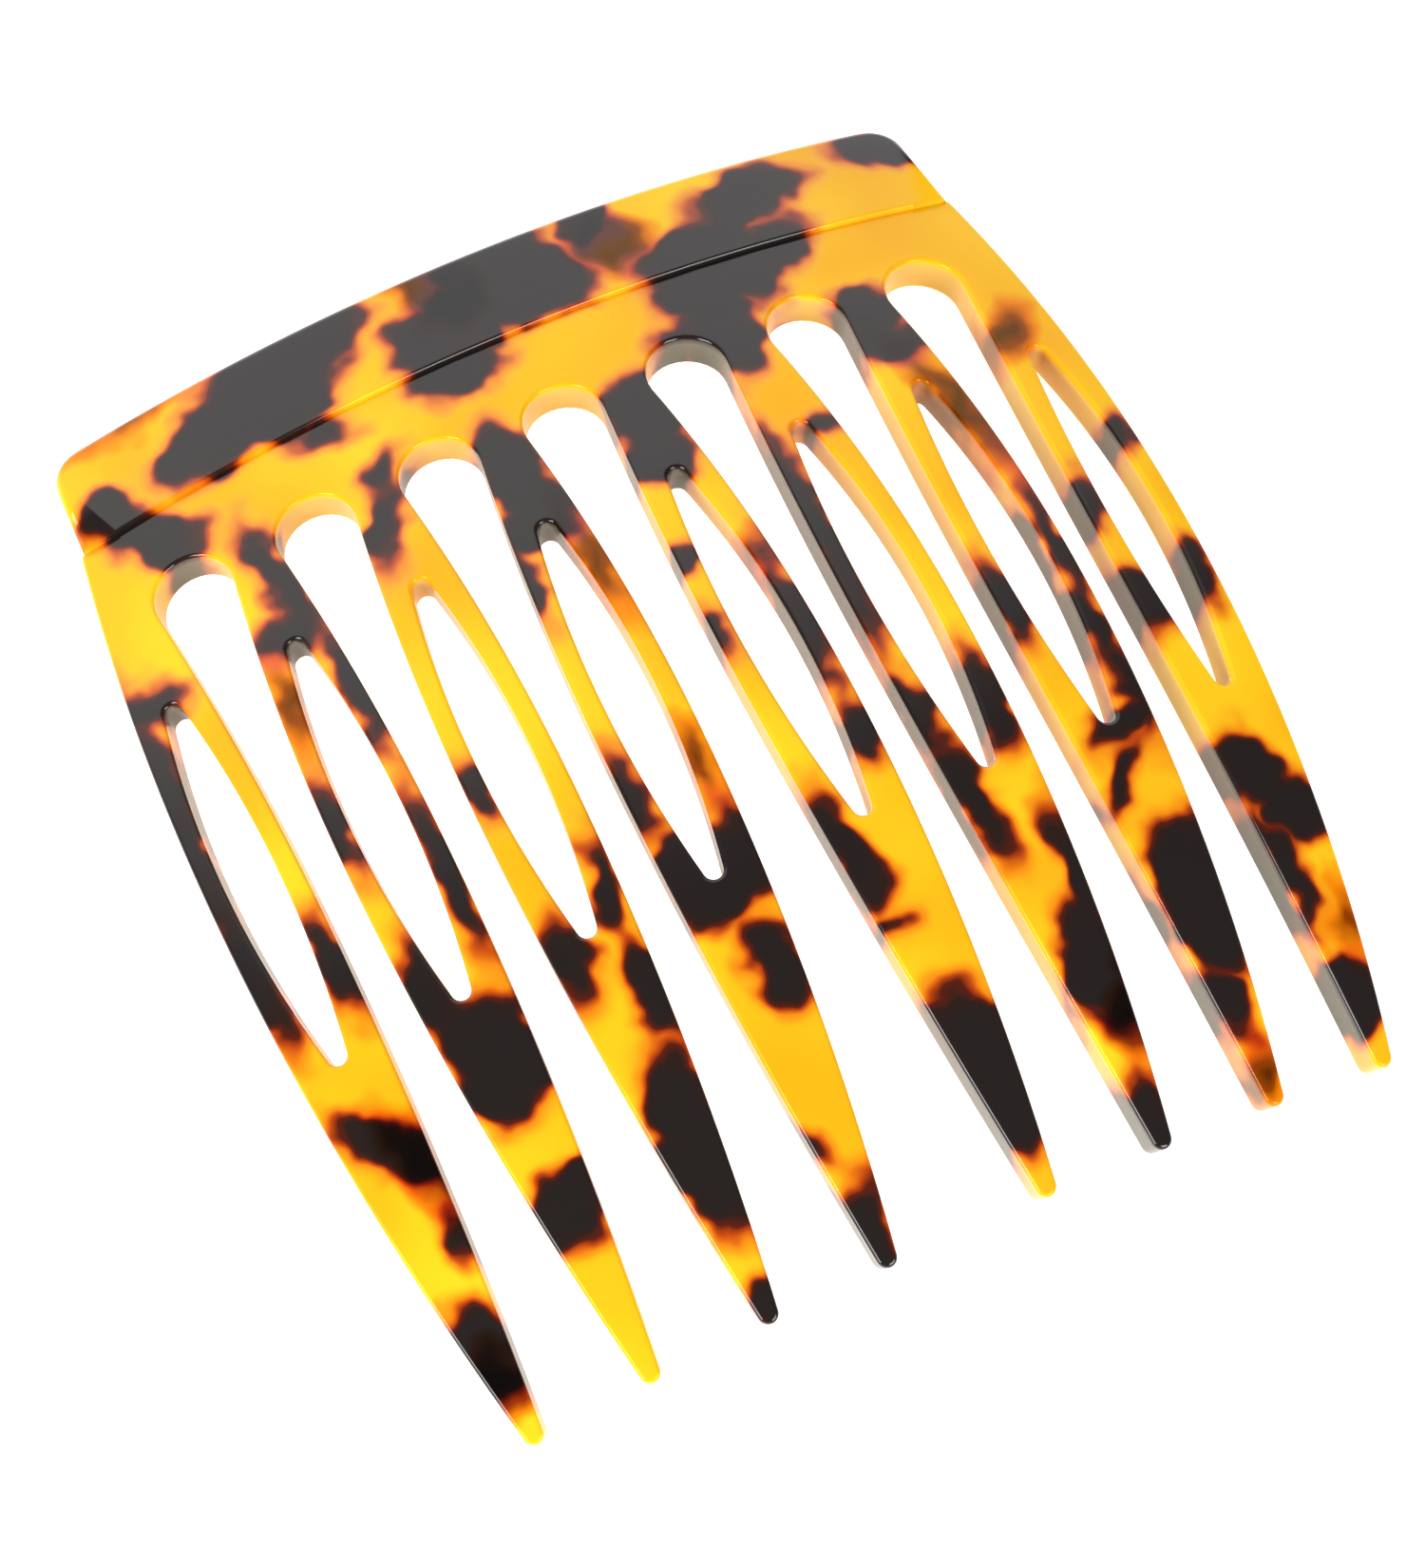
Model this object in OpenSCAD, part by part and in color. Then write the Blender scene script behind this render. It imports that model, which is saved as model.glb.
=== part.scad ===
// Large hair comb cut from one sheet of tortoiseshell acetate and bent to a dome.
// X runs across the comb, Y along the teeth with the heading at +Y, Z up.
// It lies on its hollow back: the origin is under the middle of its outer box.

/* [Sheet] */
// Radius of the dome that the front of the toothed plate lies on
dome_r = 170; // [160:5:240]
// Thickness of the toothed plate
plate_t = 3.8; // [3:0.1:4.6]
// How far the heading stands proud of the toothed plate
heading_rise = 0.6; // [0.3:0.1:1.2]

/* [Heading] */
// Height of the heading, from the shoulder to the top edge
heading_h = 12; // [10:0.5:14]
// How far the shoulder lies above the top of the dome
shoulder_y = 45; // [44:0.5:47]
// How much narrower each end of the heading is at its top corner
heading_taper = 0.6; // [0:0.1:1.2]
// Radius of the two top corners
heading_corner_r = 3.4; // [2:0.2:5]

/* [Teeth] */
// Distance between neighbouring teeth, measured round the dome
tooth_pitch = 13.1; // [12.8:0.1:13.5]
// Width of a tooth where it leaves the plate
tooth_root_w = 5; // [4.6:0.1:5.6]
// Width of a tooth at its widest, at the top of the dome
tooth_w = 9.4; // [9:0.1:9.8]
// How far the line that the teeth grow from lies above the top of the dome
root_y = 33.2; // [32.4:0.1:34]
// How far the rounded tips lie below the top of the dome
tip_y = 53.5; // [48:0.5:56]
// Radius of a tip
tip_r = 1; // [0.8:0.1:1.4]
// How much is cut off the very end of a tip, square to the sheet
tip_blunt = 0.1; // [0.05:0.05:0.3]
// How far each tooth of the middle pair leans outwards, in degrees
middle_lean = 1.2; // [0:0.1:1.4]
// How far the plate's outer edge lies outside the outer tooth's axis at the shoulder
shoulder_half = 1.8; // [1.5:0.1:2.5]

/* [Eyelets] */
// Width of the almond eyelet in each tooth
eyelet_w = 5.2; // [4.6:0.1:5.4]
// Length of an eyelet
eyelet_l = 39.6; // [34:0.2:40]
// How far the middle of an eyelet lies above the top of the dome
eyelet_y = 4.2; // [3.6:0.1:5]
// Radius of the round ends of an eyelet
eyelet_end_r = 0.95; // [0.8:0.05:1.2]

/* [Hidden] */

tooth_count = 8;
middle_tooth = (tooth_count + 1) / 2;
outer_step = tooth_count / 2 - 0.5;
back_r = dome_r - plate_t;
front_r = dome_r + heading_rise;
reach = dome_r + 10;

// Angles round the middle of the dome, which is the centre of every bend
pitch_angle = tooth_pitch / dome_r * 180 / PI;
root_angle = asin(root_y / dome_r);
shoulder_angle = asin(shoulder_y / dome_r);
outer_angle = outer_step * pitch_angle;

// Radius of the long arc that is wide_half from the axis at its middle and meets
// a round end of radius end_r whose centre is run away
function side_r(wide_half, run, end_r) =
    (pow(wide_half, 2) + pow(run, 2) - pow(end_r, 2)) / (2 * (wide_half - end_r));

// Radius of the long arc that narrows from wide_half to end_half over run
function sweep_r(wide_half, run, end_half) =
    (pow(run, 2) + pow(wide_half - end_half, 2)) / (2 * (wide_half - end_half));

// A tooth's side above its widest part, and its slope where it leaves the plate
shank_r = sweep_r(tooth_w / 2, root_y, tooth_root_w / 2);
root_slope = asin(root_y / shank_r);

// The outer side of an outer tooth runs on up the plate to the shoulder
plate_edge_r = sweep_r(tooth_w / 2, shoulder_y, shoulder_half);
shoulder_depth = sqrt(pow(dome_r, 2) - pow(shoulder_y, 2));
heading_end_x = shoulder_depth * sin(outer_angle) + shoulder_half * cos(outer_angle);
heading_end_angle = asin(heading_end_x / dome_r);

// The end of a tip is cut square to the dome, this far beyond the tip's centre
tip_angle = asin((tip_y - tip_r) / dome_r);
tip_end = tip_r - tip_blunt;

function turned_x(p, a) =
    [p[0], p[1] * cos(a) - p[2] * sin(a), p[1] * sin(a) + p[2] * cos(a)];
function turned_y(p, a) =
    [p[0] * cos(a) + p[2] * sin(a), p[1], p[2] * cos(a) - p[0] * sin(a)];

// Y and Z of the lowest point of a round corner of the hollow back, from the place
// of its centre and its radius
function low_point(centre, corner_r) =
    let (from_top = acos(centre[2] / back_r) + asin(corner_r / back_r))
    back_r * [sin(from_top) * centre[1] / norm([centre[0], centre[1]]), cos(from_top)];

// The comb rests on its four corners: the heading's top corners and the outer tips
corner_in = heading_taper + heading_corner_r;
corner_up = heading_h - heading_corner_r;
corner_depth = sqrt(pow(back_r, 2) - pow(corner_in, 2) - pow(corner_up, 2));
low_corner = low_point(
    turned_x(
        turned_y([-corner_in, corner_up, corner_depth], heading_end_angle),
        -shoulder_angle
    ),
    heading_corner_r
);
tip_corner = turned_y(
    turned_x(
        [tip_r, -tip_end, sqrt(pow(back_r, 2) - pow(tip_r, 2) - pow(tip_end, 2))],
        tip_angle
    ),
    outer_angle
);
low_tip = [tip_corner[1], tip_corner[2]];
rest_tilt = atan((low_corner[1] - low_tip[1]) / (low_corner[0] - low_tip[0]));
rest_z = low_tip[1] * cos(rest_tilt) - low_tip[0] * sin(rest_tilt);
top_edge_y = front_r * sin(shoulder_angle + asin(heading_h / front_r) + rest_tilt);
tip_line_y = dome_r * sin(tip_angle + asin(tip_end / dome_r) - rest_tilt);
middle_y = (top_edge_y - tip_line_y) / 2;

// Angle across the dome of tooth i, and of a gap when i is a half number
function tooth_angle(i) = (i - middle_tooth) * pitch_angle;

// The middle teeth lean outwards most and the outer teeth not at all
function tooth_lean(i) =
    let (steps = abs(i - middle_tooth))
    sign(i - middle_tooth) * middle_lean * (outer_step - steps) / (outer_step - 0.5);

// One shell of the dome, from the hollow back to the radius given
module shell(outer_r) {
    difference() {
        sphere(outer_r, $fn = 240);
        sphere(back_r, $fn = 240);
    }
}

// Everything on the tip side of the line that the teeth grow from
module below_roots() {
    translate([-reach, root_y - 2 * reach, 0])
        cube([2 * reach, 2 * reach, reach]);
}

// Everything on the tip side of the shoulder
module below_shoulder() {
    rotate([-shoulder_angle, 0, 0])
        translate([-reach, -2 * reach, 0])
            cube([2 * reach, 2 * reach, reach]);
}

// The strip between two long arcs that are both tooth_w / 2 from the axis at Y = 0
module between_sides(left_r, right_r) {
    intersection() {
        translate([left_r - tooth_w / 2, 0]) circle(left_r, $fn = 480);
        translate([tooth_w / 2 - right_r, 0]) circle(right_r, $fn = 480);
    }
}

// Half of an almond, widest on the X axis, narrowing to a round end up the Y axis
module almond_half(wide_half, run, end_r) {
    arc_r = side_r(wide_half, run, end_r);
    // where the long arcs meet the round end
    meet_y = run * arc_r / (arc_r - end_r);
    intersection() {
        translate([wide_half - arc_r, 0]) circle(arc_r, $fn = 480);
        translate([arc_r - wide_half, 0]) circle(arc_r, $fn = 480);
        translate([-wide_half, 0]) square([2 * wide_half, meet_y]);
    }
    translate([0, run]) circle(end_r, $fn = 48);
}

// The almond eyelet
module eyelet() {
    run = eyelet_l / 2 - eyelet_end_r;
    translate([0, eyelet_y]) {
        almond_half(eyelet_w / 2, run, eyelet_end_r);
        mirror([0, 1]) almond_half(eyelet_w / 2, run, eyelet_end_r);
    }
}

// Outline of tooth i, in the plane that touches the dome
module tooth_outline(i) {
    difference() {
        union() {
            intersection() {
                between_sides(
                    i == 1 ? plate_edge_r : shank_r,
                    i == tooth_count ? plate_edge_r : shank_r
                );
                translate([-tooth_w / 2, 0]) square([tooth_w, root_y + 4]);
            }
            mirror([0, 1]) almond_half(tooth_w / 2, tip_y - tip_r, tip_r);
        }
        eyelet();
    }
}

// Everything beyond the cut that ends a tip
module beyond_tip() {
    rotate([tip_angle, 0, 0])
        translate([-reach, -reach - tip_end, 0])
            cube([2 * reach, reach, reach]);
}

// The round head of the gap to the right of tooth i, its sides in line with the teeth
module gap_head(i) {
    // half the gap at a distance r from the middle of the dome
    function half_gap(r) =
        r * cos(root_angle) * sin(pitch_angle / 2) - tooth_root_w / 2;
    rotate([0, tooth_angle(i + 0.5), 0])
        rotate([-root_angle, 0, 0])
            translate([0, half_gap(dome_r) * tan(root_slope), back_r - 2])
                cylinder(h = plate_t + 4,
                         r1 = half_gap(back_r - 2) / cos(root_slope),
                         r2 = half_gap(dome_r + 2) / cos(root_slope),
                         $fn = 96);
}

// Everything inside the plate's outer edge on the +X side
module inside_plate_edge() {
    rotate([0, outer_angle, 0])
        linear_extrude(reach)
            translate([tooth_w / 2 - plate_edge_r, 0])
                circle(plate_edge_r, $fn = 480);
}

// The heading seen square on to its +X end, with that end's round top corner
module heading_end() {
    corner = [-heading_taper - heading_corner_r, heading_h - heading_corner_r];
    rotate([-shoulder_angle, 0, 0])
        rotate([0, heading_end_angle, 0])
            linear_extrude(reach) {
                polygon([
                    [-reach, 0],
                    [0, 0],
                    [-heading_taper, corner[1]],
                    corner,
                    [corner[0], heading_h],
                    [-reach, heading_h]
                ]);
                translate(corner) circle(heading_corner_r, $fn = 96);
            }
}

// Puts the comb down on Z = 0
module placed() {
    translate([0, -middle_y, -rest_z]) rotate([-rest_tilt, 0, 0]) children();
}

module heading_bar() {
    color("#c8861d")
        placed()
            intersection() {
                shell(front_r);
                heading_end();
                mirror([1, 0, 0]) heading_end();
            }
}

module tooth_base() {
    color("#e0a02a")
        placed()
            difference() {
                intersection() {
                    shell(dome_r);
                    below_shoulder();
                    inside_plate_edge();
                    mirror([1, 0, 0]) inside_plate_edge();
                }
                below_roots();
                for (i = [1 : tooth_count - 1]) gap_head(i);
            }
}

module tooth(i) {
    color(i % 2 == 0 ? "#e8ad33" : "#8a4a18")
        placed()
            intersection() {
                shell(dome_r);
                below_roots();
                rotate([0, tooth_angle(i), 0])
                    translate([0, root_y, 0])
                        rotate([0, 0, tooth_lean(i)])
                            translate([0, -root_y, 0])
                                difference() {
                                    linear_extrude(reach) tooth_outline(i);
                                    beyond_tip();
                                }
            }
}

heading_bar();
tooth_base();
tooth(1);  // tooth_1
tooth(2);  // tooth_2
tooth(3);  // tooth_3
tooth(4);  // tooth_4
tooth(5);  // tooth_5
tooth(6);  // tooth_6
tooth(7);  // tooth_7
tooth(8);  // tooth_8
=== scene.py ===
import math

import bmesh
import bpy
from mathutils import Matrix, Vector


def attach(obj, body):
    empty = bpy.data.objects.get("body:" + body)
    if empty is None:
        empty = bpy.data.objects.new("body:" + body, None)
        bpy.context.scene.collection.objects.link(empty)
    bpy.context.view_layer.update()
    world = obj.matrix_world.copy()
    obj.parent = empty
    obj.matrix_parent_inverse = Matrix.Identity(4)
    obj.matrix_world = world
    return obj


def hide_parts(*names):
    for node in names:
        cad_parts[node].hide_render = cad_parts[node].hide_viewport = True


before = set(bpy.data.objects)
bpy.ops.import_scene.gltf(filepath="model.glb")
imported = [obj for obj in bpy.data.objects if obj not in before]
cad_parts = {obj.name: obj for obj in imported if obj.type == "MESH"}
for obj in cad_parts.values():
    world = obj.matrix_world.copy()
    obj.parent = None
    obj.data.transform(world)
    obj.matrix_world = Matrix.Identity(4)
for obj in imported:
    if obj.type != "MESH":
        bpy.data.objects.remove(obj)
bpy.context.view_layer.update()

# ---------------------------------------------------------------- the comb's sizes, in mm
MM = 0.001
DOME_R = 170.0
PLATE_T = 3.8
HEADING_RISE = 0.6
HEADING_H = 12.0
SHOULDER_Y = 45.0
HEADING_TAPER = 0.6
HEADING_CORNER_R = 3.4
TOOTH_COUNT = 8
TOOTH_PITCH = 13.1
TOOTH_ROOT_HALF = 2.5
TOOTH_HALF = 4.7
ROOT_Y = 33.2
TIP_RUN = 52.5
TIP_R = 1.0
MIDDLE_LEAN = math.radians(1.2)
SHOULDER_HALF = 1.8
EYELET_HALF = 2.6
EYELET_RUN = 18.85
EYELET_Y = 4.2
EYELET_END_R = 0.95

# How the bent comb stands in the row frame: its turn about X and the dome's middle
REST_TILT = math.radians(0.128)
DOME_MIDDLE = Vector((0.0, -1.272, -151.705))

# Roundings left by the polishing barrel
TOOTH_EDGE = 0.42
HEADING_FRONT_EDGE = 1.1
HEADING_BACK_EDGE = 0.6
SHOULDER_EDGE = 0.3
TOOTH_EDGE_STEPS = 4
HEADING_FRONT_STEPS = 6
HEADING_BACK_STEPS = 4
SHOULDER_STEPS = 3

# Where the plate's outer edge comes to the shoulder: its Y, and how far it is from the
# long axis that the teeth are turned about
EDGE_TOP_Y = 43.5
EDGE_TOP_REACH = 164.0

# How near two points are to be taken as one, how near a point is to a level or to the
# shoulder to be on it, and how sharp an edge is to be rounded, in radians
SAME_SPOT = 0.001
SAME_LEVEL = 0.01
ON_SHOULDER = 0.03
SHARP_ANGLE = 1.0

PITCH_ANGLE = TOOTH_PITCH / DOME_R
ROOT_ANGLE = math.asin(ROOT_Y / DOME_R)
SHOULDER_ANGLE = math.asin(SHOULDER_Y / DOME_R)
OUTER_ANGLE = (TOOTH_COUNT - 1) / 2 * PITCH_ANGLE


def side_r(wide_half, run, end_r):
    """Radius of the long arc that flows into a round end of radius end_r, run away."""
    return (wide_half**2 + run**2 - end_r**2) / (2 * (wide_half - end_r))


def sweep_r(wide_half, run, end_half):
    """Radius of the long arc that narrows from wide_half to end_half over run."""
    return (run**2 + (wide_half - end_half) ** 2) / (2 * (wide_half - end_half))


def arc_x(wide_half, arc_r, y):
    """How far a long arc is from the axis at y, when it is wide_half out at y = 0."""
    return wide_half - arc_r + math.sqrt(arc_r**2 - y**2)


def mix(a, b, share):
    """The value a share of the way from a to b."""
    return a + (b - a) * share


SHANK_R = sweep_r(TOOTH_HALF, ROOT_Y, TOOTH_ROOT_HALF)
PLATE_EDGE_R = sweep_r(TOOTH_HALF, SHOULDER_Y, SHOULDER_HALF)
TIP_SIDE_R = side_r(TOOTH_HALF, TIP_RUN, TIP_R)
EYELET_SIDE_R = side_r(EYELET_HALF, EYELET_RUN, EYELET_END_R)
ROOT_SLOPE = math.asin(ROOT_Y / SHANK_R)
HALF_GAP = DOME_R * math.cos(ROOT_ANGLE) * math.sin(PITCH_ANGLE / 2) - TOOTH_ROOT_HALF
GAP_R = HALF_GAP / math.cos(ROOT_SLOPE)


# ---------------------------------------------------------------- the flat sheet
# The comb is drawn as it is cut: flat. X on the sheet is the distance round the dome,
# Y the distance along the teeth, Z the height above the plate's front.
def turned(point, x_angle, y_angle):
    """A point turned about the X axis and then about the Y axis."""
    return (
        Matrix.Rotation(y_angle, 3, "Y") @ Matrix.Rotation(x_angle, 3, "X") @ point
    )


def on_dome(x, y, radius=DOME_R):
    """The point of a dome above x and y."""
    return Vector((x, y, math.sqrt(radius**2 - x**2 - y**2)))


def unrolled(point):
    """A point of the dome, laid on the flat sheet."""
    across = math.atan2(point.x, point.z)
    return Vector((DOME_R * across, point.y * DOME_R / point.length, 0.0))


def tooth_angle(i):
    """How far round the dome tooth i is."""
    return (i - (TOOTH_COUNT + 1) / 2) * PITCH_ANGLE


def tooth_lean(i):
    """Turn of tooth i about its root: the most beside the middle, none at the ends."""
    steps = i - (TOOTH_COUNT + 1) / 2
    outermost = (TOOTH_COUNT - 1) / 2
    share = (outermost - abs(steps)) / (outermost - 0.5)
    return math.copysign(MIDDLE_LEAN * share, steps)


def tooth_spot(i, x, y):
    """A point of tooth i, given from the tooth's own axis, on the flat sheet."""
    if y < ROOT_Y:
        lean = tooth_lean(i)
        down = y - ROOT_Y
        x, y = (
            x * math.cos(lean) - down * math.sin(lean),
            ROOT_Y + x * math.sin(lean) + down * math.cos(lean),
        )
    return unrolled(turned(on_dome(x, y), 0, tooth_angle(i)))


def shoulder_y(across):
    """Y of the shoulder on the flat sheet, at an angle across the dome."""
    slope = math.tan(SHOULDER_ANGLE) * math.cos(across)
    return DOME_R * slope / math.hypot(1, slope)


def gap_spot(i, side, turn):
    """A point of the round gap head beside tooth i, turn up from level."""
    x = -side * GAP_R * math.cos(turn)
    y = HALF_GAP * math.tan(ROOT_SLOPE) + GAP_R * math.sin(turn)
    return unrolled(turned(on_dome(x, y), -ROOT_ANGLE, tooth_angle(i + side / 2)))


# Rows of faces in each stretch of a tooth, from the shoulder down to the tip
PLATE_ROWS = 4
HEAD_ROWS = 9
NECK_ROWS = 4
END_ROWS = 5
LONG_ROWS = 22
TAPER_ROWS = 14
TIP_ROWS = 9
ROOT_ROW = PLATE_ROWS + HEAD_ROWS
# Columns of faces along the heading, and rows round each of its corners
HEADING_COLUMNS = 32
CORNER_ROWS = 7
# How far before an eyelet, in mm, the rows start to bend round its end
EYELET_RUN_IN = 1.2


def half_tooth(i, side):
    """The edge chain and the middle chain of one side of tooth i, from the shoulder
    down to the tip, as two lists of points on the flat sheet with one point a row."""
    outermost = (i == 1 and side < 0) or (i == TOOTH_COUNT and side > 0)
    upper_r = PLATE_EDGE_R if outermost else SHANK_R
    apex_y = gap_spot(i, side, math.pi / 2).y
    edge, middle = [], []

    def row(edge_spot, middle_spot):
        edge.append(edge_spot)
        middle.append(middle_spot)

    def on_edge(y):
        arc = upper_r if y > 0 else TIP_SIDE_R
        return tooth_spot(i, side * arc_x(TOOTH_HALF, arc, y), y)

    def on_middle(y):
        return tooth_spot(i, 0.0, y)

    top_y = shoulder_y(tooth_angle(i))
    gap_angle = tooth_angle(i + side / 2)
    edge_x = arc_x(TOOTH_HALF, PLATE_EDGE_R, EDGE_TOP_Y)
    edge_angle = tooth_angle(i) + side * edge_x / EDGE_TOP_REACH
    for k in range(PLATE_ROWS):
        share = k / PLATE_ROWS
        middle_spot = on_middle(mix(top_y, apex_y, share))
        if outermost:
            row(on_edge(mix(shoulder_y(edge_angle), apex_y, share)), middle_spot)
        else:
            y = mix(shoulder_y(gap_angle), apex_y, share)
            row(Vector((DOME_R * gap_angle, y, 0.0)), middle_spot)
    for k in range(HEAD_ROWS):
        share = k / HEAD_ROWS
        y = mix(apex_y, ROOT_Y, share)
        turn = mix(math.pi / 2, -ROOT_SLOPE, share)
        row(on_edge(y) if outermost else gap_spot(i, side, turn), on_middle(y))

    meet = math.asin(EYELET_RUN / (EYELET_SIDE_R - EYELET_END_R))
    meet_y = EYELET_SIDE_R * math.sin(meet)
    eyelet_top = EYELET_Y + EYELET_RUN + EYELET_END_R
    eyelet_foot = EYELET_Y - EYELET_RUN - EYELET_END_R
    for k in range(NECK_ROWS):
        share = k / NECK_ROWS
        row(
            on_edge(mix(ROOT_Y, eyelet_top + EYELET_RUN_IN, share)),
            on_middle(mix(ROOT_Y, eyelet_top, share)),
        )
    for end in (1, -1):
        if end < 0:
            for k in range(1, LONG_ROWS):
                turn = mix(meet, -meet, k / LONG_ROWS)
                y = EYELET_Y + EYELET_SIDE_R * math.sin(turn)
                x = EYELET_HALF - EYELET_SIDE_R + EYELET_SIDE_R * math.cos(turn)
                row(on_edge(y), tooth_spot(i, side * x, y))
        for k in range(END_ROWS + 1):
            share = k / END_ROWS if end > 0 else 1 - k / END_ROWS
            turn = mix(math.pi / 2, meet, share)
            x = EYELET_END_R * math.cos(turn)
            y = EYELET_Y + end * (EYELET_RUN + EYELET_END_R * math.sin(turn))
            far = EYELET_RUN + EYELET_END_R + EYELET_RUN_IN
            row(
                on_edge(EYELET_Y + end * mix(far, meet_y, share)),
                tooth_spot(i, side * x, y),
            )
    tip_meet = math.asin(TIP_RUN / (TIP_SIDE_R - TIP_R))
    tip_meet_y = TIP_SIDE_R * math.sin(tip_meet)
    for k in range(1, TAPER_ROWS):
        share = k / TAPER_ROWS
        row(
            on_edge(mix(eyelet_foot - EYELET_RUN_IN, -tip_meet_y, share)),
            on_middle(mix(eyelet_foot, -TIP_RUN, share)),
        )
    for k in range(TIP_ROWS + 1):
        turn = mix(tip_meet, math.pi / 2, k / TIP_ROWS)
        x = side * TIP_R * math.cos(turn)
        y = -TIP_RUN - TIP_R * math.sin(turn)
        row(tooth_spot(i, x, y), on_middle(-TIP_RUN))
    return edge, middle


def strip(bm, edge, middle, piece_of_row):
    """A one-wide grid laid between two chains. Each face notes the piece it is for."""
    rows = len(edge) - 1
    made = bmesh.ops.create_grid(bm, x_segments=1, y_segments=rows, size=1)["verts"]
    for face in {f for v in made for f in v.link_faces}:
        row = int((1 - face.calc_center_median().y) / 2 * rows)
        face.material_index = piece_of_row(row)
    for v in made:
        row = round((1 - v.co.y) / 2 * rows)
        v.co = edge[row] if v.co.x > 0 else middle[row]


def thickened(bm, front_z, back_z):
    """Merges the strips into one sheet and gives it its walls and back."""
    bmesh.ops.remove_doubles(bm, verts=bm.verts, dist=SAME_SPOT)
    made = bmesh.ops.extrude_face_region(bm, geom=bm.faces[:])
    back = {g for g in made["geom"] if isinstance(g, bmesh.types.BMVert)}
    for v in bm.verts:
        v.co.z = back_z if v in back else front_z
    bmesh.ops.recalc_face_normals(bm, faces=bm.faces)


def rims(bm, z, wanted):
    """The edges at height z between a face of the sheet and a wall."""
    return [
        e
        for e in bm.edges
        if len(e.link_faces) == 2
        and all(abs(v.co.z - z) < SAME_LEVEL for v in e.verts)
        and abs(e.calc_face_angle(0)) > SHARP_ANGLE
        and wanted(e)
    ]


def on_shoulder(part):
    """Whether every corner of an edge or a face is on the shoulder."""
    return all(
        abs(v.co.y - shoulder_y(v.co.x / DOME_R)) < ON_SHOULDER for v in part.verts
    )


def rounded(bm, edges, radius, segments):
    """Rounds edges over, as the polishing barrel does."""
    bmesh.ops.bevel(
        bm,
        geom=edges,
        offset=radius,
        offset_type="OFFSET",
        affect="EDGES",
        segments=segments,
        profile=0.5,
        material=-1,
        clamp_overlap=False,
    )


def bent(bm):
    """Bends the flat sheet over the dome. Each point keeps its place on the sheet in
    the layer sheet, in mm, so that the mottling runs straight through the thickness.
    The layer polish gets the normals. They leave out the joint at the shoulder, where
    the heading and the plate touch."""
    joint = {f for f in bm.faces if on_shoulder(f)}
    sheet = bm.verts.layers.float_vector.new("sheet")
    stand = Matrix.Rotation(REST_TILT, 3, "X")
    for v in bm.verts:
        v[sheet] = v.co
        radius = DOME_R + v.co.z
        across = v.co.x / DOME_R
        y = v.co.y * radius / DOME_R
        level = math.sqrt(radius**2 - y**2)
        place = Vector((level * math.sin(across), y, level * math.cos(across)))
        v.co = (stand @ place + DOME_MIDDLE) * MM
    bmesh.ops.recalc_face_normals(bm, faces=bm.faces)
    polish = bm.verts.layers.float_vector.new("polish")
    for v in bm.verts:
        total = Vector()
        for f in v.link_faces:
            if f not in joint or v[sheet].z > SAME_LEVEL:
                total += f.normal * f.calc_area()
        v[polish] = total.normalized()


def piece_from(bm, name, node, index):
    """One piece of the bent comb, closed where it meets its neighbours. Its normals
    come from the whole comb, so that the polish runs on over the joints."""
    part = bm.copy()
    others = [f for f in part.faces if f.material_index != index]
    bmesh.ops.delete(part, geom=others, context="FACES")
    open_edges = [e for e in part.edges if e.is_boundary]
    kept = set(part.faces)
    if open_edges:
        bmesh.ops.holes_fill(part, edges=open_edges, sides=0)
    caps = [f for f in part.faces if f not in kept]
    bmesh.ops.recalc_face_normals(part, faces=part.faces)
    for f in part.faces:
        f.material_index = 0
        f.smooth = True
    polish = part.verts.layers.float_vector["polish"]
    normals = [
        f.normal.copy() if f in caps else Vector(loop.vert[polish])
        for f in part.faces
        for loop in f.loops
    ]
    mesh = bpy.data.meshes.new(name)
    part.to_mesh(mesh)
    part.free()
    mesh.normals_split_custom_set(normals)
    mesh.attributes.remove(mesh.attributes["polish"])
    piece = bpy.data.objects.new(name, mesh)
    bpy.context.scene.collection.objects.link(piece)
    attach(piece, "root")
    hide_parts(node)
    return piece


def toothed_plate():
    """The tooth base and the eight teeth, cut from one sheet and then parted."""
    bm = bmesh.new()
    for i in range(1, TOOTH_COUNT + 1):
        for side in (-1, 1):
            edge, middle = half_tooth(i, side)
            strip(bm, edge, middle, lambda row: 0 if row < ROOT_ROW else i)
    thickened(bm, 0.0, -PLATE_T)
    for z in (0.0, -PLATE_T):
        edges = rims(bm, z, lambda e: not on_shoulder(e))
        rounded(bm, edges, TOOTH_EDGE, TOOTH_EDGE_STEPS)
    bent(bm)
    pieces = [piece_from(bm, "comb_tooth_base", "tooth_base", 0)]
    for i in range(1, TOOTH_COUNT + 1):
        pieces.append(piece_from(bm, f"comb_tooth_{i}", f"tooth_{i}", i))
    bm.free()
    return pieces


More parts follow.
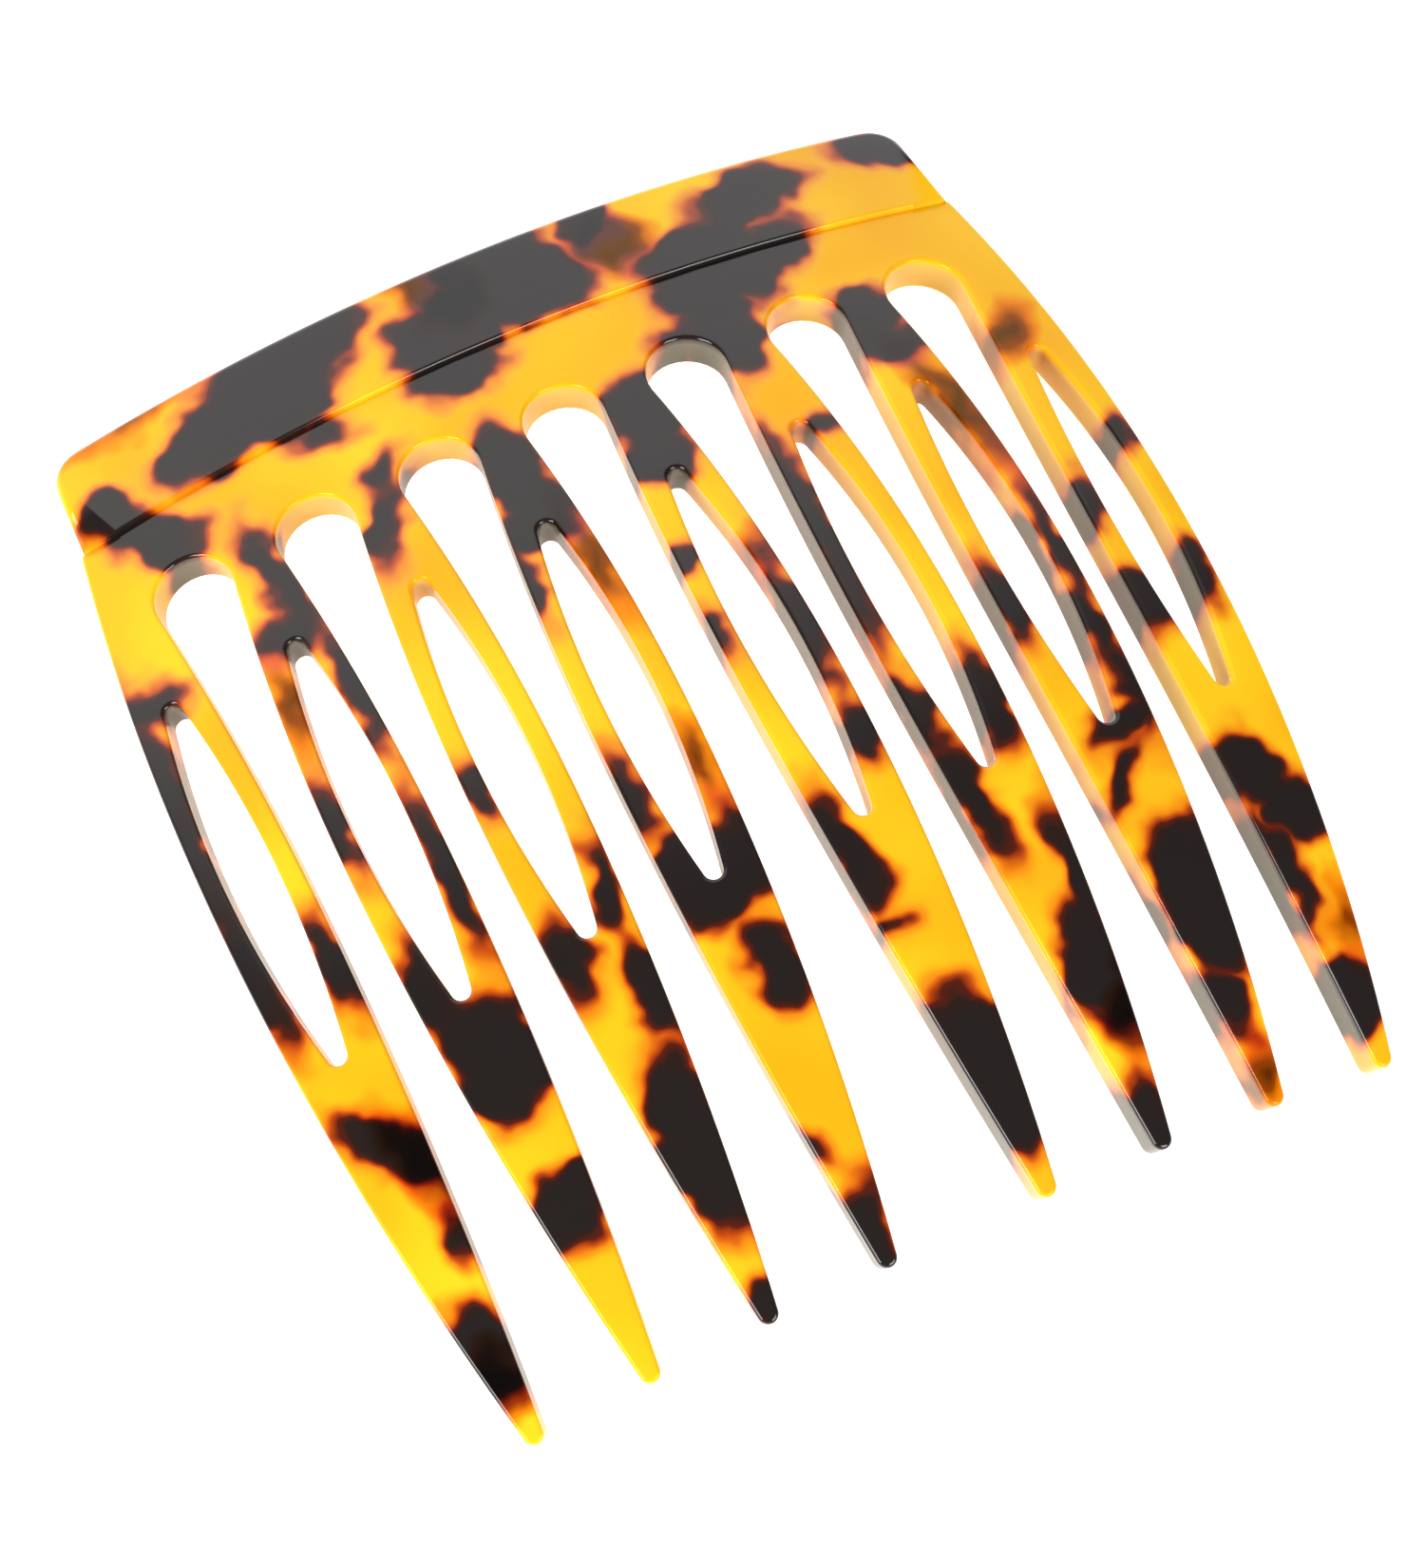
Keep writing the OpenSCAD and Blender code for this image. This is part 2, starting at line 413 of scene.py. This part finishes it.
def heading():
    """The bar along the top, with its edges rounded over by the polishing."""
    front_r = DOME_R + HEADING_RISE
    depth = math.sqrt(DOME_R**2 - SHOULDER_Y**2)
    end_x = depth * math.sin(OUTER_ANGLE) + SHOULDER_HALF * math.cos(OUTER_ANGLE)
    end_angle = math.asin(end_x / DOME_R)
    corner_x = -HEADING_TAPER - HEADING_CORNER_R
    corner_y = HEADING_H - HEADING_CORNER_R

    def end_spot(side, x, y):
        point = turned(on_dome(x, y, front_r), 0, end_angle)
        point.x *= side
        return unrolled(turned(point, -SHOULDER_ANGLE, 0))

    bm = bmesh.new()
    levels = (0.0, corner_y, HEADING_H)
    made = bmesh.ops.create_grid(
        bm, x_segments=HEADING_COLUMNS, y_segments=len(levels) - 1, size=1
    )["verts"]
    for v in made:
        level = levels[round(1 + v.co.y)]
        point = turned(on_dome(corner_x, level, front_r), 0, end_angle)
        half = math.atan2(point.x, point.z)
        reach = math.sqrt(front_r**2 - level**2)
        across = v.co.x * half
        place = Vector((reach * math.sin(across), level, reach * math.cos(across)))
        v.co = unrolled(turned(place, -SHOULDER_ANGLE, 0))
    for side in (-1, 1):
        edge = [end_spot(side, 0.0, 0.0), end_spot(side, -HEADING_TAPER, corner_y)]
        for k in range(1, CORNER_ROWS + 1):
            turn = math.pi / 2 * k / CORNER_ROWS
            x = corner_x + HEADING_CORNER_R * math.cos(turn)
            y = corner_y + HEADING_CORNER_R * math.sin(turn)
            edge.append(end_spot(side, x, y))
        middle = [end_spot(side, corner_x, 0.0)]
        middle += [end_spot(side, corner_x, corner_y)] * (CORNER_ROWS + 1)
        strip(bm, edge, middle, lambda row: 0)
    thickened(bm, HEADING_RISE, -PLATE_T)
    front = rims(bm, HEADING_RISE, lambda e: not on_shoulder(e))
    rounded(bm, front, HEADING_FRONT_EDGE, HEADING_FRONT_STEPS)
    back = rims(bm, -PLATE_T, lambda e: not on_shoulder(e))
    rounded(bm, back, HEADING_BACK_EDGE, HEADING_BACK_STEPS)
    # the shoulder's edge stays sharp beside the corners, where the roundings would meet
    inner_x = end_spot(1, corner_x, 0.0).x + SAME_LEVEL
    shoulder = [
        e
        for e in rims(bm, HEADING_RISE, on_shoulder)
        if all(abs(v.co.x) < inner_x for v in e.verts)
    ]
    rounded(bm, shoulder, SHOULDER_EDGE, SHOULDER_STEPS)
    bent(bm)
    piece = piece_from(bm, "comb_heading", "heading_bar", 0)
    bm.free()
    return piece


# ---------------------------------------------------------------- the acetate
def linear(hex_colour):
    """An sRGB hex colour as linear RGBA."""
    parts = [int(hex_colour[k : k + 2], 16) / 255 for k in (1, 3, 5)]
    return [
        c / 12.92 if c <= 0.04045 else ((c + 0.055) / 1.055) ** 2.4 for c in parts
    ] + [1.0]


def add(tree, kind, inputs=None, **settings):
    """Adds a node with its settings, and sets or links its inputs."""
    node = tree.nodes.new(kind)
    for name, value in settings.items():
        setattr(node, name, value)
    for key, value in (inputs or {}).items():
        if isinstance(value, bpy.types.NodeSocket):
            tree.links.new(value, node.inputs[key])
        else:
            node.inputs[key].default_value = value
    return node


def ramp(tree, factor, stops):
    """A colour from a factor, by stops of a place and an sRGB hex colour."""
    node = add(tree, "ShaderNodeValToRGB", {"Fac": factor})
    elements = node.color_ramp.elements
    while len(elements) < len(stops):
        elements.new(1.0)
    for element, (place, colour) in zip(elements, stops):
        element.position = place
        element.color = linear(colour)
    return node.outputs["Color"]


# Dark mottles of the sheet, in mm on the flat sheet: X, Y, half length, half width and
# the turn of the length from the X axis in degrees
DARK_MOTTLES = [
    # heading
    (-31.0, 48.3, 6.5, 3.6, 12), (-21.5, 53.0, 9.0, 4.6, 8), (-24.5, 49.0, 6.5, 4.5, 0),
    (-8.3, 47.8, 3.8, 3.3, 0), (3.5, 50.0, 6.2, 5.0, -8), (2.0, 54.5, 5.5, 3.2, 0),
    (-2.8, 49.0, 4.0, 4.2, 0), (28.5, 50.4, 6.8, 3.3, 8), (20.5, 46.6, 6.2, 3.2, 10),
    (45.2, 52.2, 5.0, 3.0, -12), (12.6, 54.5, 2.8, 3.0, 90),
    # plate, left to right
    (-43.6, 45.0, 3.4, 2.7, 110), (-40.0, 40.8, 4.8, 3.0, -32), (-21.5, 43.2, 3.0, 1.5, -15),
    (-7.0, 43.2, 4.9, 3.2, 0), (21.5, 42.8, 7.2, 4.2, 12), (18.6, 36.5, 5.5, 3.3, 85),
    (28.0, 43.5, 4.5, 2.6, 30), (14.2, 38.2, 2.6, 1.3, 20), (24.5, 39.5, 2.4, 1.6, 40),
    # roots
    (-31.6, 33.2, 3.9, 1.6, 95), (-31.3, 28.5, 4.5, 1.5, 100), (-32.5, 25.0, 3.2, 1.6, 12),
    (-20.4, 30.2, 4.2, 1.9, 65), (-17.8, 35.8, 2.4, 1.2, 40), (-7.0, 30.5, 5.3, 3.6, 90),
    (-6.8, 24.5, 4.2, 2.8, 0), (6.9, 30.2, 5.0, 3.0, 75), (6.0, 25.8, 3.8, 3.0, 0),
    (32.3, 33.2, 3.6, 3.0, 0), (32.6, 29.6, 4.0, 2.6, 0),
    # tooth 1
    (-49.3, 12.0, 13.5, 1.9, 90), (-47.6, 25.0, 2.9, 1.7, -12), (-49.4, -4.0, 7.5, 2.0, 92),
    (-42.3, -6.8, 5.0, 1.9, 98), (-45.3, -24.5, 5.5, 2.3, -52), (-43.0, -34.4, 2.2, 1.6, 100),
    (-46.1, -44.5, 4.4, 3.2, 90),
    # tooth 2
    (-36.4, 4.6, 4.3, 1.5, 90), (-29.4, 17.0, 6.5, 1.5, 93), (-29.3, -4.0, 8.2, 1.7, 90),
    (-35.8, -13.5, 5.6, 2.2, 85), (-32.8, -21.5, 6.0, 4.8, 90), (-32.8, -37.2, 3.9, 3.7, 0),
    # tooth 3
    (-23.6, 2.0, 2.3, 1.2, 90), (-22.9, -16.6, 4.2, 1.9, 80), (-16.9, -11.8, 4.4, 1.4, 84),
    (-17.4, -22.5, 4.4, 2.3, 90), (-19.6, -36.4, 8.8, 4.0, 90), (-20.0, -53.0, 2.8, 2.4, 90),
    # tooth 4
    (-10.7, 19.0, 4.0, 1.4, 82), (-11.6, -5.5, 4.2, 1.5, 92), (-8.3, -15.2, 4.8, 5.0, 90),
    (-4.4, -13.5, 4.2, 1.6, 90), (-6.2, -25.0, 4.2, 2.7, 95), (-10.8, -41.0, 2.0, 0.9, -60),
    (-8.6, -49.8, 4.5, 2.6, 85),
    # tooth 5
    (2.9, 15.0, 1.6, 1.3, 0), (2.7, 6.6, 2.2, 1.3, 90), (10.4, 4.0, 7.0, 1.5, 90),
    (10.6, -8.0, 2.5, 1.7, 90), (4.2, -18.0, 5.6, 2.1, 98), (5.3, -26.0, 1.5, 0.8, 0),
    (7.8, -41.5, 8.5, 4.2, 90),
    # tooth 6
    (16.0, 12.5, 12.5, 1.8, 91), (22.0, 22.7, 1.9, 0.9, 8), (16.4, -8.0, 3.8, 1.4, 100),
    (17.4, -17.5, 6.2, 1.9, 98), (22.8, -9.2, 4.8, 2.2, 90), (23.4, -28.0, 6.5, 1.9, 80),
    (22.2, -36.5, 6.5, 3.4, 95), (21.0, -50.2, 3.8, 2.4, 90),
    # tooth 7
    (28.9, -1.6, 4.7, 1.9, 90), (36.0, -5.5, 3.5, 1.8, 90), (34.0, -16.0, 3.4, 1.5, 25),
    (36.6, -12.5, 5.0, 1.2, 90), (36.7, 3.0, 6.5, 1.0, 90), (32.0, -21.0, 3.6, 1.0, 42),
    (34.4, -33.5, 8.0, 4.5, 92), (32.2, -43.8, 3.3, 1.7, 100),
    # tooth 8
    (41.3, 5.8, 3.2, 2.0, 75), (41.6, -5.6, 3.3, 2.1, 95), (48.6, 12.0, 2.4, 1.8, 40),
    (48.6, -4.2, 3.4, 1.9, 90), (44.2, -23.5, 3.8, 3.0, 120), (43.2, -33.5, 6.0, 1.5, 97),
    (47.0, -28.6, 3.8, 3.0, 90), (45.2, -46.7, 3.4, 3.2, 60),
]

# Smoky brown clouds, thinner and softer than the dark mottles
SMOKY_MOTTLES = [
    (-38.0, 56.0, 8.0, 2.4, 6), (-4.5, 53.5, 5.0, 4.0, 90), (13.2, 51.0, 4.0, 3.5, 90),
    (-42.8, -28.0, 6.0, 2.2, 105), (-46.3, -47.5, 3.0, 2.6, 90), (-4.2, 18.5, 5.0, 1.4, 95),
    (-4.4, -4.0, 3.0, 1.3, 90), (35.3, 20.0, 8.0, 1.8, 105), (44.2, 26.8, 3.4, 1.8, 50),
    (47.6, -40.0, 2.2, 1.0, 90), (22.5, -42.5, 2.4, 2.6, 90), (33.4, -50.5, 2.5, 1.8, 90),
    (-35.6, 18.0, 4.0, 1.4, 90), (25.5, -38.0, 3.0, 1.5, 90), (10.8, 13.0, 2.0, 1.6, 90),
]

# How far a mottle can show beyond its own ellipse, how far out the field starts, and
# over what distance two close mottles flow together, in mm
MOTTLE_ROOM = 4.5
FAR_FROM_MOTTLES = 100.0
MOTTLE_JOIN = 1.2
# Half depth of a mottle: far more than the sheet, so that it runs straight through
MOTTLE_DEPTH = 1000.0


def mottle_field(tree, place, mottles):
    """How far, in mm, a point of the sheet is outside the nearest mottle."""
    field = FAR_FROM_MOTTLES
    for x, y, half_length, half_width, turn in mottles:
        local = add(
            tree,
            "ShaderNodeMapping",
            {
                "Vector": place,
                "Location": (x, y, 0.0),
                "Rotation": (0.0, 0.0, math.radians(turn)),
                "Scale": (half_length, half_width, MOTTLE_DEPTH),
            },
            vector_type="TEXTURE",
        )
        reach = add(
            tree,
            "ShaderNodeVectorMath",
            {0: local.outputs[0]},
            operation="LENGTH",
        )
        size = min(half_length, half_width)
        outside = add(
            tree,
            "ShaderNodeMath",
            {0: reach.outputs["Value"], 1: size, 2: -size},
            operation="MULTIPLY_ADD",
        )
        joined = add(
            tree,
            "ShaderNodeMath",
            {0: field, 1: outside.outputs[0], 2: MOTTLE_JOIN},
            operation="SMOOTH_MIN",
        )
        field = joined.outputs[0]
    return field


def mottles_near(piece, mottles):
    """The mottles that can show on a piece, with room for their wandering edges. One
    material with all of the mottles would be too large to render."""
    spots = [item.vector for item in piece.data.attributes["sheet"].data]
    left, right = min(s.x for s in spots), max(s.x for s in spots)
    foot, head = min(s.y for s in spots), max(s.y for s in spots)
    near = []
    for mottle in mottles:
        x, y, half_length, half_width, turn = mottle
        cos, sin = math.cos(math.radians(turn)), math.sin(math.radians(turn))
        reach_x = math.hypot(half_length * cos, half_width * sin) + MOTTLE_ROOM
        reach_y = math.hypot(half_length * sin, half_width * cos) + MOTTLE_ROOM
        if left - reach_x < x < right + reach_x and foot - reach_y < y < head + reach_y:
            near.append(mottle)
    return near


def wandered(tree, sheet):
    """The place on the sheet, pushed about so that the mottles' edges wander by up to
    2 mm over 6 mm of their length, and by up to 1 mm over 3 mm."""
    place = sheet
    for scale, roughness, reach in ((0.17, 0.5, 4.2), (0.34, 0.45, 2.0)):
        noise = add(
            tree,
            "ShaderNodeTexNoise",
            {"Vector": sheet, "Scale": scale, "Detail": 1.0, "Roughness": roughness},
        )
        centred = add(
            tree,
            "ShaderNodeVectorMath",
            {0: noise.outputs["Color"], 1: (0.5, 0.5, 0.5)},
            operation="SUBTRACT",
        )
        moved = add(
            tree,
            "ShaderNodeVectorMath",
            {0: centred.outputs[0], 1: (reach, reach, 0.0), 2: place},
            operation="MULTIPLY_ADD",
        )
        place = moved.outputs[0]
    return place


def dark_mottled(tree, sheet, dark):
    """The amber with its dark mottles, and how clear of them the amber is."""
    # the amber itself drifts between yellow and orange over a few centimetres
    drift = add(
        tree,
        "ShaderNodeTexNoise",
        {"Vector": sheet, "Scale": 0.06, "Detail": 1.0, "Roughness": 0.4},
    )
    amber = ramp(
        tree,
        drift.outputs["Fac"],
        [(0.30, "#F7AE16"), (0.50, "#FCC01C"), (0.70, "#FFCE22")],
    )
    # from the middle of a mottle outwards: black, red-brown, red, orange, clear amber
    depth = add(
        tree,
        "ShaderNodeMapRange",
        {"Value": dark, "From Min": -1.1, "From Max": 2.0},
    )
    rim = ramp(
        tree,
        depth.outputs[0],
        [
            (0.00, "#221C1B"),
            (0.20, "#2A1A16"),
            (0.31, "#561A0A"),
            (0.40, "#B8440A"),
            (0.52, "#EC8410"),
            (0.82, "#F8AC16"),
        ],
    )
    clear = add(
        tree,
        "ShaderNodeMapRange",
        {"Value": dark, "From Min": 0.3, "From Max": 2.0},
        interpolation_type="SMOOTHSTEP",
    ).outputs[0]
    body = add(
        tree,
        "ShaderNodeMix",
        {"Factor": clear, 6: rim, 7: amber},
        data_type="RGBA",
    )
    return body.outputs[2], clear


def smoked(tree, colour, smoky):
    """A colour with the thin layers of brown over it: brown, then orange, then nothing."""
    thinning = add(
        tree,
        "ShaderNodeMapRange",
        {"Value": smoky, "From Min": -1.5, "From Max": 1.5},
    )
    haze = ramp(
        tree,
        thinning.outputs[0],
        [(0.0, "#5C3A2C"), (0.30, "#94542E"), (0.62, "#F0AC78"), (1.0, "#FFFFFF")],
    )
    smoke = add(
        tree,
        "ShaderNodeMix",
        {"Factor": 1.0, 6: colour, 7: haze},
        data_type="RGBA",
        blend_type="MULTIPLY",
    )
    return smoke.outputs[2]


def sawn_share(tree, sheet):
    """1 on the sawn walls and 0 on the polished faces, from the height in the sheet."""
    height = add(tree, "ShaderNodeSeparateXYZ", {0: sheet}).outputs["Z"]
    below_front = add(
        tree,
        "ShaderNodeMapRange",
        {"Value": height, "From Min": -0.25, "From Max": -1.0},
    )
    above_back = add(
        tree,
        "ShaderNodeMapRange",
        {"Value": height, "From Min": -PLATE_T, "From Max": 0.5 - PLATE_T},
    )
    sawn = add(
        tree,
        "ShaderNodeMath",
        {0: below_front.outputs[0], 1: above_back.outputs[0]},
        operation="MULTIPLY",
    )
    return sawn.outputs[0]


def tortoiseshell_acetate(piece):
    """Cellulose acetate sheet: blocks of amber and near-black brown pressed together,
    sliced, cut and barrel-polished. It gives the eye warm yellow with ragged dark
    mottles that have red-orange rims, under a clear, wet-looking gloss."""
    material = bpy.data.materials.new(f"tortoiseshell_acetate_of_{piece.name}")
    material.use_nodes = True
    tree = material.node_tree
    tree.nodes.clear()
    sheet = add(tree, "ShaderNodeAttribute", attribute_name="sheet").outputs["Vector"]
    place = wandered(tree, sheet)
    dark = mottle_field(tree, place, mottles_near(piece, DARK_MOTTLES))
    smoky = mottle_field(tree, place, mottles_near(piece, SMOKY_MOTTLES))
    colour, clear = dark_mottled(tree, sheet, dark)
    colour = smoked(tree, colour, smoky)
    # the sawn walls are less polished than the faces, with a finely frosted, rougher gloss.
    # The pale grey mixed into their colour is painted reflection of the pale floor
    sawn = sawn_share(tree, sheet)
    painted_reflection_share = add(
        tree,
        "ShaderNodeMath",
        {0: sawn, 1: 0.42},
        operation="MULTIPLY",
    )
    colour_with_painted_reflection = add(
        tree,
        "ShaderNodeMix",
        {"Factor": painted_reflection_share.outputs[0], 6: colour, 7: linear("#93907A")},
        data_type="RGBA",
    )
    gloss = add(
        tree,
        "ShaderNodeMapRange",
        {"Value": sawn, "To Min": 0.09, "To Max": 0.32},
    )
    # polishing leaves a very slight waviness that bends reflections
    wave = add(
        tree,
        "ShaderNodeTexNoise",
        {"Vector": sheet, "Scale": 0.11, "Detail": 1.0},
    )
    bump = add(
        tree,
        "ShaderNodeBump",
        {"Height": wave.outputs["Fac"], "Strength": 0.10, "Distance": 0.0006},
    )
    # light that comes back out of the amber under the gloss warms its reflections
    tint = add(
        tree,
        "ShaderNodeMix",
        {"Factor": clear, 6: linear("#FFFFFF"), 7: linear("#FFE08A")},
        data_type="RGBA",
    )
    surface = add(
        tree,
        "ShaderNodeBsdfPrincipled",
        {
            "Base Color": colour_with_painted_reflection.outputs[2],
            "Specular Tint": tint.outputs[2],
            "Roughness": gloss.outputs[0],
            "IOR": 1.48,
            "Normal": bump.outputs[0],
        },
    )
    add(tree, "ShaderNodeOutputMaterial", {"Surface": surface.outputs[0]})
    return material


# ---------------------------------------------------------------- the studio
def pale_floor():
    """A white floor that glows a little, so that the comb leaves no shadow on it."""
    material = bpy.data.materials.new("pale_studio_floor")
    material.use_nodes = True
    surface = material.node_tree.nodes["Principled BSDF"]
    surface.inputs["Base Color"].default_value = linear("#F7F7F7")
    surface.inputs["Roughness"].default_value = 0.9
    surface.inputs["Specular IOR Level"].default_value = 0.0
    surface.inputs["Emission Color"].default_value = linear("#FFFFFF")
    surface.inputs["Emission Strength"].default_value = 0.95
    bm = bmesh.new()
    bmesh.ops.create_grid(bm, x_segments=1, y_segments=1, size=3.0)
    mesh = bpy.data.meshes.new("studio_floor")
    bm.to_mesh(mesh)
    bm.free()
    mesh.materials.append(material)
    floor = bpy.data.objects.new("studio_floor", mesh)
    bpy.context.scene.collection.objects.link(floor)


def softbox(name, place, width, power):
    """A large square area light that faces the comb."""
    light = bpy.data.lights.new(name, "AREA")
    light.shape = "SQUARE"
    light.size = width
    light.energy = power
    lamp = bpy.data.objects.new(name, light)
    lamp.location = place
    lamp.rotation_mode = "QUATERNION"
    lamp.rotation_quaternion = (-Vector(place)).to_track_quat("-Z", "Y")
    bpy.context.scene.collection.objects.link(lamp)


def studio():
    """The light: a bright end of the room to reflect, and two lamps out of its way."""
    world = bpy.data.worlds.new("studio_room")
    bpy.context.scene.world = world
    world.use_nodes = True
    tree = world.node_tree
    tree.nodes.clear()
    # the room is bright over the heading and dim behind the camera
    way = add(tree, "ShaderNodeTexCoord").outputs["Generated"]
    towards = add(
        tree,
        "ShaderNodeVectorMath",
        {0: way, 1: (0.05, 0.96, 0.28)},
        operation="DOT_PRODUCT",
    )
    share = add(
        tree,
        "ShaderNodeMapRange",
        {"Value": towards.outputs["Value"], "From Min": 0.42, "From Max": 0.86},
        interpolation_type="SMOOTHSTEP",
    )
    tone = add(
        tree,
        "ShaderNodeMapRange",
        {"Value": share.outputs[0], "To Min": 0.12, "To Max": 2.0},
    )
    glow = add(tree, "ShaderNodeBackground", {"Strength": tone.outputs[0]})
    add(tree, "ShaderNodeOutputWorld", {"Surface": glow.outputs[0]})
    softbox("front_light", (0.5, -1.5, 0.9), 0.9, 24)
    softbox("left_light", (-1.4, -0.5, 0.9), 0.9, 27)


# The camera's place and aim in mm, its upward direction and its lens in mm
CAMERA_PLACE = (-119.4, -225.0, 570.7)
CAMERA_AIM = (-2.43, -5.79, 10.0)
CAMERA_UP = (0.3845, 0.8298, 0.4046)
CAMERA_LENS = 152.4


def camera():
    """A long lens on a rolled camera, from in front of the tips."""
    place = Vector(CAMERA_PLACE) * MM
    forward = (Vector(CAMERA_AIM) * MM - place).normalized()
    up = Vector(CAMERA_UP)
    right = forward.cross(up).normalized()
    up = right.cross(forward)
    data = bpy.data.cameras.new("studio_camera")
    data.lens = CAMERA_LENS
    data.sensor_width = 36.0
    data.clip_start = 0.05
    data.clip_end = 20.0
    shown = bpy.data.objects.new("studio_camera", data)
    turn = Matrix((right, up, -forward)).transposed()
    shown.matrix_world = Matrix.Translation(place) @ turn.to_4x4()
    bpy.context.scene.collection.objects.link(shown)
    bpy.context.scene.camera = shown


pieces = toothed_plate()
pieces.append(heading())
for piece in pieces:
    piece.data.materials.append(tortoiseshell_acetate(piece))
pale_floor()
studio()
camera()
bpy.context.scene.view_settings.view_transform = "Standard"
